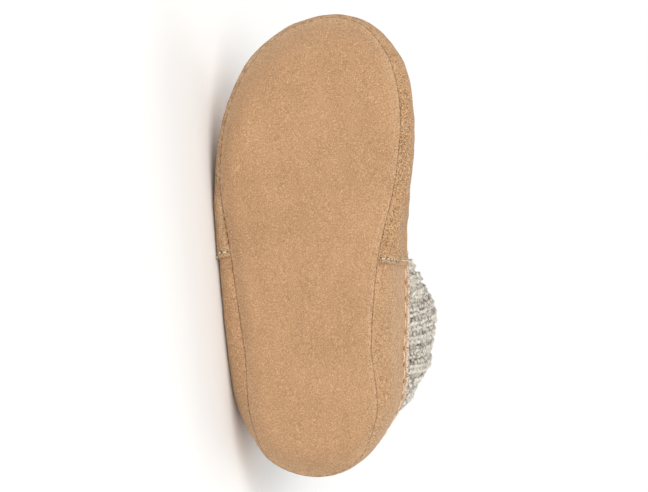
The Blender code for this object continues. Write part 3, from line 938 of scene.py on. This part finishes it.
def thread(name, colour):
    """Two-ply cotton, twisted."""
    cotton = Finish(name, 0.75, 0.25, 0.15)
    twist = cotton.twist(COTTON_LAY, 2)
    # Painted shade and highlight: the thread is darker between its twisted plies and lighter on them.
    level = 0.5 + twist * 0.35 + cotton.noise(1.5 * MM)
    cotton.feed("Base Color", cotton.mix(level, shade(colour, 0.62), shade(colour, 1.25)))
    cotton.raise_by(twist, 0.06 * MM)
    return cotton.material


def side_stitches(name, share, towards):
    """The row that holds the vamp's edge down, from just over the sole to the topline."""
    row = np.array([share + towards * SIDE_INSET / OUTLINE.around])
    parts, from_seam, from_top = (table[:, 0] for table in wall_parts(row))
    begins = np.arange(SIDE_START, from_seam[-1] - SIDE_SHOWN, SIDE_STITCH)
    starts = [(row[0], np.interp(b, from_seam, parts)) for b in begins]
    ends = [(row[0], np.interp(b + SIDE_SHOWN, from_seam, parts)) for b in begins]

    def on_vamp(share, part, depth):
        up, down = np.interp(part, parts, from_seam), np.interp(part, parts, from_top)
        return wall_skin(share, part, depth + vamp_proud(up, down, np.full(up.shape, SIDE_INSET)))

    return stitches(name, starts, ends, on_vamp, 0.16 * MM)


def top_stitches(name):
    """The running stitch under the heel piece's top edge, from one side seam to the other."""
    begins = np.arange(top_count) * top_pitch
    ends = begins + TOP_SHOWN
    pairs = [
        [(np.interp(at, top_run, top_shares), np.interp(at, top_run, top_parts)) for at in row]
        for row in (begins, ends)
    ]
    return stitches(name, *pairs, wall_skin, 0.20 * MM)


side_finish = thread("side seam thread", SIDE_THREAD)
seam_rows = (
    (side_stitches("side_seam_thread_outer", seam_out, 1), side_finish),
    (side_stitches("side_seam_thread_inner", seam_in, -1), side_finish),
    (top_stitches("topline_thread"), thread("topline thread", TOP_THREAD)),
)
for row, cotton_finish in seam_rows:
    row.data.materials.append(cotton_finish)
    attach(row, "root")


# Raw edge fibres. Short loose ends of the split leather that stand off the cut edges of vamp and
# heel piece, where the shears left them.
FIBRE = 0.034 * MM
FIBRE_TAPER = np.array([1.0, 0.9, 0.7, 0.35])
FIBRE_SIDES = 3
CUT_BAND = 0.3 * MM
TOP_BAND = 0.5 * MM


def fuzz(name, piece, chosen, count, length, chance):
    """Fine hairs that leave a piece at random among its chosen points and bend over."""
    mesh = piece.data
    points, normals = np.empty(len(mesh.vertices) * 3), np.empty(len(mesh.vertices) * 3)
    mesh.vertices.foreach_get("co", points)
    mesh.vertex_normals.foreach_get("vector", normals)
    roots = chance.choice(np.flatnonzero(chosen), count)
    root, way = points.reshape(-1, 3)[roots], normals.reshape(-1, 3)[roots]
    way = unit(way + 0.55 * chance.normal(size=way.shape))
    bend = unit(chance.normal(size=way.shape))
    reach = length * chance.uniform(0.4, 1.0, size=count)
    x = np.linspace(0.0, 1.0, len(FIBRE_TAPER))[None, :, None]
    paths = root[:, None] + reach[:, None, None] * (way[:, None] * (x - 0.05) + bend[:, None] * 0.5 * x**2)
    paths[..., 2] = np.maximum(paths[..., 2], FIBRE)
    thin = FIBRE_TAPER * FIBRE
    return tubes(name, list(paths), np.cross(way, bend)[:, None], [thin] * count, FIBRE_SIDES)


def at_points(piece, name):
    """One of the piece's tones at each of its points."""
    values = np.empty(len(piece.data.vertices), np.float32)
    piece.data.attributes[name].data.foreach_get("value", values)
    return values


def loose_fibre(name, colour):
    return Finish(name, 0.9, 0.2, colour=colour).material


chance = np.random.default_rng(5)
fibres = [
    fuzz(
        "vamp_edge_fibres", vamp, at_points(vamp, "from_end") < CUT_BAND,
        count=700, length=0.9 * MM, chance=chance,
    ),
    fuzz(
        "heel_piece_edge_fibres", heel_piece, at_points(heel_piece, "from_top") < TOP_BAND,
        count=900, length=0.6 * MM, chance=chance,
    ),
]
fibre_finish = loose_fibre("leather fibres", TIP_TAN)
for tuft in fibres:
    tuft.data.materials.append(fibre_finish)
    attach(tuft, "root")


# Collar. A tube of one by one rib, knitted in a soft marled yarn of cream, grey and brown wool,
# cast off loosely at the mouth. Its hem is caught under the topline, and it puffs out over it.
MOUTH_HEIGHT = 73 * MM
MOUTH_LENGTH = 57 * MM
MOUTH_WIDTH = 53 * MM
MOUTH_FROM_HEEL = 48.7 * MM
MOUTH_OFFSET = -0.5 * MM
COLLAR_SLACK = 8.4 * MM
SLACK_STARTS = 12 * MM
SLACK_ENDS = 78 * MM
SLACK_BLEND = 28 * MM
SLACK_LEAST = 0.38
COLLAR_TWIST = 6 * MM
COLLAR_FAN = 0.65
COLLAR_SPRING = 0.30
COLLAR_REACH = 0.36
HEM_GAP = 0.4 * MM
HEM_DEPTH = 6 * MM
RIB_COUNT = 42
WALES = 2 * RIB_COUNT
WALES_EVEN_AT = 0.4
KNIT_HALF = 1.5 * MM
ROW_HEIGHT = 2.1 * MM
YARN = 0.59 * MM
YARN_SIDES = 6
WOOL_LAY = 3.4 * MM
MARL_CHANGE = 9.0 * MM
WALE_PITCH = 2.2 * MM
LOOP_WAIST = 0.50 * MM
LOOP_REACH = 1.55 * MM
LEG_FRONT = 0.62 * MM
HEAD_FRONT = 0.26 * MM
RIB_RIDGE = 0.42 * MM
LOOP_POINTS = 14
RIB_SPREAD = 0.18
FIRST_ROW = 0.55
UNEVEN_ACROSS = 0.05
UNEVEN_DOWN = 0.10 * MM
UNEVEN_POINTS = 21
HEM_HIDDEN = 0.8 * MM
PUFF = ((15 * MM, 0.45 * MM), (8 * MM, 0.30 * MM))
PUFF_UPRIGHT = np.array([1.0, 1.0, 0.4])
PER_WALE = 4
SHEET_STEP = 0.5 * MM
CHAIN_SHIFT = 1.2
CHAIN_DROP = 0.30 * MM
CHAIN_SLANT = 0.22
CHAIN_HALF = 0.52 * MM
CHAIN_ROLL = 0.20 * MM
GROUND_RIDGE = 0.30 * MM
GROUND_FURROW = 1.10 * MM
GROUND_HALF = 0.25 * MM
GROUND_START = 0.9 * MM
GROUND_END = 0.3 * MM
GROUND_ROWS = 46
# Dark grey of the sheet behind the loops, a stand-in for the shade between them.
SHADE_SHEET_GREY = (0.30, 0.27, 0.23, 1.0)
WOOL_LIGHT = (0.65, 0.595, 0.50, 1.0)
WOOL_CREAM = (0.84, 0.79, 0.70, 1.0)
WOOL_GREY = (0.34, 0.295, 0.245, 1.0)
WOOL_BROWN = (0.15, 0.117, 0.088, 1.0)
# Deep brown of the painted shade in the rib's furrows and near the hem.
WOOL_FURROW_SHADE = (0.19, 0.145, 0.105, 1.0)


def collar_line(share, part):
    """The collar's outer face above the topline: part 0 is the topline, 1 is the mouth.

    The knit leans on its way up, so each ring is read a little further round than the last.
    """
    x = column(part, share)
    weights = ((1 - x) ** 3, 3 * x * (1 - x) ** 2, 3 * x**2 * (1 - x), x**3)
    turns = -COLLAR_TWIST / OUTLINE.around * np.arange(4) / 3
    return sum(w * collar_rings(share + turn)[i] for i, (w, turn) in enumerate(zip(weights, turns)))


def collar_rings(share):
    """Four rings that draw the collar's puff: the foot, two that pull it out, and the mouth."""
    top = np.ones(share.shape)
    foot = wall_skin(share, top, WALL + HEM_GAP)
    rising = unit(wall_line(share, top, 0.0) - wall_line(share, top - 0.05, 0.0))
    along, across = foot[..., :1], foot[..., 1:2]
    slack = COLLAR_SLACK * (0.7 + 0.3 * smooth(across / (15 * MM)))
    for inside in (along - SLACK_STARTS, SLACK_ENDS - along):
        slack = slack * (SLACK_LEAST + (1 - SLACK_LEAST) * smooth(inside / SLACK_BLEND))
    centre = np.array([MOUTH_FROM_HEEL, MOUTH_OFFSET])
    level = foot[..., :2] - centre
    angle = np.arctan2(level[..., 1] / MOUTH_WIDTH, level[..., 0] / MOUTH_LENGTH)
    rim = np.stack([
        centre[0] + MOUTH_LENGTH / 2 * np.cos(angle),
        centre[1] + MOUTH_WIDTH / 2 * np.sin(angle),
        np.full(angle.shape, MOUTH_HEIGHT),
    ], axis=-1)
    height = (rim - foot)[..., 2:]
    fan = 1 - COLLAR_FAN * np.clip(np.sin(angle), 0.0, 1.0)
    out = np.stack([np.cos(angle) * fan, np.sin(angle), np.zeros_like(angle)], axis=-1)
    low = foot + rising * height * COLLAR_SPRING + out * slack
    high = rim - UP * height * COLLAR_REACH + out * slack * 0.55
    return foot, low, high, rim


def knit_sheet():
    """The middle of the knitted cloth as a table: wale by distance down from the mouth."""
    fine = np.linspace(0.0, 1.0, 1201)
    run = run_along(collar_line(fine, WALES_EVEN_AT))
    columns = WALES * PER_WALE
    share = np.interp(np.arange(columns) / columns * run[-1], run, fine)
    over = [collar_line(share, x) for x in np.linspace(1.0, 0.0, 61)]
    parts, _, from_top = wall_parts(share)
    for distance in np.linspace(0.4 * MM, HEM_DEPTH, 14):
        over.append(wall_skin(share, below_top(distance, parts, from_top), WALL + HEM_GAP))
    line = np.stack(over)
    run = run_along(line)
    down = np.arange(0.0, run[-1].max(), SHEET_STEP)
    sheet = np.stack([
        np.stack([np.interp(down, run[:, i], line[:, i, axis]) for axis in range(3)], -1)
        for i in range(columns)
    ], axis=1)
    round_it = np.roll(sheet, -1, axis=1) - np.roll(sheet, 1, axis=1)
    down_it = np.gradient(sheet, axis=0)
    off = unit(np.cross(down_it, round_it) + 1e-12)
    centre = sheet.mean(axis=(0, 1))
    off *= np.sign(((sheet - centre) * np.array([1, 1, 0]) * off).sum(-1, keepdims=True))
    return sheet - off * KNIT_HALF, off, run[-1]


SHEET, SHEET_OFF, SHEET_LENGTH = knit_sheet()


def on_sheet(wale, distance):
    """The knit's middle at a wale and a distance down from the mouth, and the way off it."""
    across = np.mod(wale, WALES) * PER_WALE
    down = np.clip(distance / SHEET_STEP, 0, len(SHEET) - 1.001)
    i, j = np.floor(down).astype(int), np.floor(across).astype(int)
    y, x = (down - i)[..., None], (across - j)[..., None]
    j, k = j % SHEET.shape[1], (j + 1) % SHEET.shape[1]

    def between(table):
        upper = table[i, j] * (1 - x) + table[i, k] * x
        return upper * (1 - y) + (table[i + 1, j] * (1 - x) + table[i + 1, k] * x) * y

    return between(SHEET), unit(between(SHEET_OFF))


def puffs(points):
    """How far the knit's swells stand off its even shape: soft folds that run up the collar."""
    return sum(
        drift(points * PUFF_UPRIGHT, size, 41 + i) * height for i, (size, height) in enumerate(PUFF)
    )


def knitted_row(row, chance):
    """One course of rib: loops lean forward on knit wales and back on purl wales."""
    wale = np.arange(WALES * LOOP_POINTS) / LOOP_POINTS
    turn = (wale % 1.0) * 2 * math.pi
    side = np.where(np.floor(wale) % 2 == 0, 1.0, -1.0)
    uneven = np.repeat(chance.normal(size=WALES), LOOP_POINTS)
    uneven = np.concatenate([uneven, uneven[: UNEVEN_POINTS - 1]])
    uneven = np.convolve(uneven, np.ones(UNEVEN_POINTS) / UNEVEN_POINTS, "valid")
    across = wale - RIB_SPREAD * np.cos(math.pi * wale)
    across = across + LOOP_WAIST / WALE_PITCH * np.sin(2 * turn) + uneven * UNEVEN_ACROSS
    distance = (row + FIRST_ROW) * ROW_HEIGHT + LOOP_REACH * np.cos(turn) + uneven * UNEVEN_DOWN
    ridge = side * np.sin(math.pi * (wale % 1.0))
    forward = LEG_FRONT * np.sin(turn) ** 2 + HEAD_FRONT * (1 - np.cos(turn)) / 2
    off = ridge * RIB_RIDGE + side * forward
    distance = np.clip(distance, 0.0, None)
    middle, facing = on_sheet(across, distance)
    left = np.interp(across, np.arange(len(SHEET_LENGTH)) / PER_WALE, SHEET_LENGTH) - distance
    hem = smooth((HEM_DEPTH + 9 * MM - left) / (8 * MM))
    path = middle + facing * (off * (1 + 0.12 * hem) + puffs(middle))[:, None]
    # Painted shade: darkest in the purl furrows, and darker towards the hem where the knit goes under the
    # topline.
    furrow_shade = np.clip(0.42 - 0.58 * ridge, 0.0, 1.0) * (0.55 + 0.45 * hem) + 0.28 * hem
    return path, facing, furrow_shade, left > HEM_HIDDEN


def runs_of(shown):
    """First and last + 1 of each stretch of a ring that shows; they may pass the ring's end."""
    first = int(np.argmin(shown))
    rolled_on = np.roll(shown, -first)
    edges = np.flatnonzero(np.diff(np.concatenate([[0], rolled_on.astype(int), [0]])))
    return [(first + a, first + b) for a, b in zip(edges[::2], edges[1::2]) if b - a > 6]


def knit_band(name, rows, chance):
    """Courses of the rib: whole rings in one mesh, and in another those that the hem cuts off."""
    rings, stretches = [], []
    for row in rows:
        path, facing, furrow_shade, shown = knitted_row(row, chance)
        radius = YARN * (1 + 0.10 * drift(path, 5 * MM, 50 + row))
        ring = lay(path, YARN), facing @ AXES, radius, furrow_shade
        if shown.all():
            rings.append(ring)
            continue
        for first, last in runs_of(shown):
            at = np.arange(first, last) % len(path)
            stretches.append([values[at] for values in ring])
    made = []
    for ending, closed, yarns in (("", True, rings), ("_hem", False, stretches)):
        if yarns:
            paths, facings, radii, furrow_shades = zip(*yarns)
            made.append(tubes(name + ending, paths, facings, radii, YARN_SIDES, closed, furrow_shades))
    return made


def marl(name):
    """Two plies twisted together, each changing from cream to grey and brown along its length."""
    wool = Finish(name, 0.95, 0.12, 0.35)
    twist = wool.twist(WOOL_LAY, 1)
    hairs = wool.noise(0.30 * MM, 3.0, 0.7)
    clumps = wool.noise(2.4 * MM, 2.0, 0.6)
    bands = wool.noise(MARL_CHANGE, 2.0, 0.55)
    ply = (twist * 0.5 + hairs * 1.6).above(-0.35, 0.35)
    pale = wool.mix((clumps + hairs * 0.6).above(-0.12, 0.10), WOOL_LIGHT, WOOL_CREAM)
    deep = wool.mix((bands + clumps * 0.7 + hairs * 0.5).above(-0.10, 0.08), WOOL_LIGHT, WOOL_GREY)
    deep = wool.mix((bands * 0.8 + clumps * 0.9 + hairs * 0.7).above(0.08, 0.24), deep, WOOL_BROWN)
    yarn = wool.mix(ply, pale, deep)
    # Painted shade: the yarn darkens to a deep brown in the rib's furrows and near the hem.
    shaded = (wool.tone("furrow_shade") + clumps * 0.5).above(0.30, 0.95) * 0.72
    wool.feed("Base Color", wool.mix(shaded, yarn, WOOL_FURROW_SHADE))
    wool.raise_by(twist * 0.5 + hairs * 1.5, 0.22 * MM)
    return wool.material


def knit_shade_sheet(name):
    """A thin dark sheet of felted wool behind the knit's loops, waved with the ribs, that stands in for the
    shade between them.
    """
    wale = np.arange(WALES * PER_WALE) / PER_WALE
    rise = np.where(np.floor(wale) % 2 == 0, GROUND_RIDGE, -GROUND_FURROW)
    rib = rise * np.sin((wale % 1.0) * math.pi)
    outer, inner = [], []
    for x in np.linspace(1.0, 0.0, GROUND_ROWS):
        distance = GROUND_START + (SHEET_LENGTH - GROUND_END - GROUND_START) * x
        middle, facing = on_sheet(wale, distance)
        bulge = rib + puffs(middle)
        outer.append(middle + facing * (bulge + GROUND_HALF)[:, None])
        inner.append(middle + facing * (bulge - GROUND_HALF)[:, None])
    return shell(name, np.stack(outer), np.stack(inner), GROUND_HALF * 2, GROUND_HALF * 4, around=True)


def cast_off(name):
    """The chain that closes the mouth: two strands that slant over each other round the edge."""
    wale = np.arange(WALES * LOOP_POINTS) / LOOP_POINTS
    paths, facings = [], []
    for side in (1, -1):
        turn = wale * 2 * math.pi + (0 if side > 0 else CHAIN_SHIFT)
        distance = CHAIN_DROP * (1 + np.cos(turn))
        middle, facing = on_sheet(wale + CHAIN_SLANT * np.sin(turn), distance)
        off = side * CHAIN_HALF + CHAIN_ROLL * np.sin(turn)
        paths.append(lay(middle + facing * (off + puffs(middle))[:, None], YARN))
        facings.append(facing @ AXES)
    return tubes(name, paths, facings, [YARN * 0.95] * 2, THREAD_SIDES, closed=True)


chance = np.random.default_rng(7)
row_count = int(SHEET_LENGTH.max() / ROW_HEIGHT)
half = row_count // 2
knit_rows = knit_band("collar_knit_mouth", range(0, half), chance)
knit_rows += knit_band("collar_knit_foot", range(half, row_count), chance)
knit_rows.append(cast_off("collar_cast_off"))
marl_finish = marl("marled wool")
for band in knit_rows:
    band.data.materials.append(marl_finish)
    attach(band, "root")
    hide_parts("collar")
fluff_finish = loose_fibre("loose wool", WOOL_CREAM)
for band in knit_rows[:2]:
    fluff = fuzz(
        band.name.replace("knit", "fluff"), band, np.ones(len(band.data.vertices), bool),
        count=2600, length=1.7 * MM, chance=chance,
    )
    fluff.data.materials.append(fluff_finish)
    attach(fluff, "root")
# A dark sheet behind the loops stands in for the shade seen between them.
shade_sheet = knit_shade_sheet("collar_shade_sheet")
shade_sheet.data.materials.append(felt("collar shade sheet", SHADE_SHEET_GREY))
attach(shade_sheet, "root")
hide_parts("collar")


# Studio. A plain pale floor under soft even light, seen through a long lens from the photo's
# angle to the slipper: square to its length, 12 degrees to the inner side of straight below.
FLOOR_HALF = 4.0
FLOOR_PALE = (0.90, 0.90, 0.89, 1.0)
SKY = 0.62
CAMERA_TILT = math.radians(12)
CAMERA_DISTANCE = 1.8
PHOTO_WIDTH = 211.2 * MM
TARGET = (74.7 * MM, 0.3 * MM, 20 * MM)

floor_mesh = bpy.data.meshes.new("floor")
corners = [(x * FLOOR_HALF, y * FLOOR_HALF, 0.0) for x, y in ((-1, -1), (1, -1), (1, 1), (-1, 1))]
floor_mesh.from_pydata(corners, [], [(0, 1, 2, 3)])
floor = bpy.data.objects.new("floor", floor_mesh)
bpy.context.scene.collection.objects.link(floor)
floor_mesh.materials.append(Finish("pale floor", 0.85, 0.1, colour=FLOOR_PALE).material)

world = bpy.context.scene.world or bpy.data.worlds.new("studio")
bpy.context.scene.world = world
world.use_nodes = True
sky = world.node_tree.nodes["Background"]
sky.inputs["Color"].default_value = (1.0, 1.0, 1.0, 1.0)
sky.inputs["Strength"].default_value = SKY


def aimed(position, target, up):
    """A matrix that looks from position at target, with up as near as can be to the top."""
    back = unit(np.array(position) - target)
    right = unit(np.cross(up, back))
    top = np.cross(back, right)
    columns = np.stack([right, top, back], axis=1)
    rows = [[*columns[i], position[i]] for i in range(3)]
    return Matrix(rows + [[0, 0, 0, 1]])


def soft_box(name, position, side, watts):
    """A square lamp of the given side and power that faces the slipper."""
    lamp = bpy.data.lights.new(name, "AREA")
    lamp.shape, lamp.size = "SQUARE", side
    lamp.energy = watts
    made = bpy.data.objects.new(name, lamp)
    made.matrix_world = aimed(position, (0.0, 0.0, 20 * MM), UP)
    bpy.context.scene.collection.objects.link(made)


soft_box("key", (-0.5, -1.5, 1.5), side=1.3, watts=26.0)
soft_box("low_fill", (0.5, -1.8, 0.5), side=1.5, watts=12.0)
soft_box("back", (0.3, 1.5, 1.3), side=1.5, watts=12.0)

target = np.array(TARGET) @ AXES + HEEL_POINT
view_back = np.array([0.0, math.sin(CAMERA_TILT), -math.cos(CAMERA_TILT)]) @ AXES
lens = bpy.data.cameras.new("camera")
lens.sensor_width = 36.0
lens.lens = lens.sensor_width * CAMERA_DISTANCE / PHOTO_WIDTH
lens.clip_end = 20.0
camera = bpy.data.objects.new("camera", lens)
camera.matrix_world = aimed(target + view_back * CAMERA_DISTANCE, target, AXES[0])
bpy.context.scene.collection.objects.link(camera)
bpy.context.scene.camera = camera
bpy.context.scene.view_settings.view_transform = "Standard"
